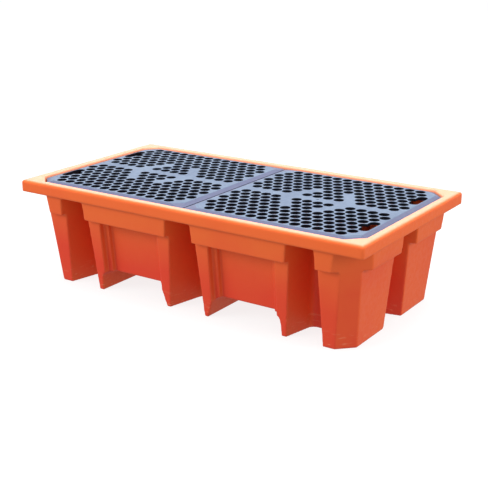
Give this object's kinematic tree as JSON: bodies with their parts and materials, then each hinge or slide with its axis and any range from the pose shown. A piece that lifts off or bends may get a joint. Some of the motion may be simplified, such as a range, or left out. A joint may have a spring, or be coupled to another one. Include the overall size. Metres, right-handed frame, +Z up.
{
  "type": "spill containment pallet",
  "caption": "Low plastic sump on moulded feet with fork channels, a flat lip, and perforated lift-out decks that carry drums over the sump.",
  "frame": {"origin": "centre of the base, on the floor", "axes": "+X along the long side, to the right seen from the front; front is -Y; +Z up"},
  "size_m": [1.4, 0.742, 0.38],
  "materials": {
    "sump_plastic": "moulded polyethylene, satin, fine orange-peel texture",
    "deck_plastic": "moulded polyethylene, satin"
  },
  "bodies": {
    "base": {"sump": "sump_plastic"},
    "left_deck": {"deck_left": "deck_plastic"},
    "right_deck": {"deck_right": "deck_plastic"}
  },
  "joints": [
    {"name": "left_deck_lift", "type": "slide", "parent": "base", "child": "left_deck", "axis": [0, 0, 1], "range_m": [0, 0.3]},
    {"name": "right_deck_lift", "type": "slide", "parent": "base", "child": "right_deck", "axis": [0, 0, 1], "range_m": [0, 0.3]}
  ]
}
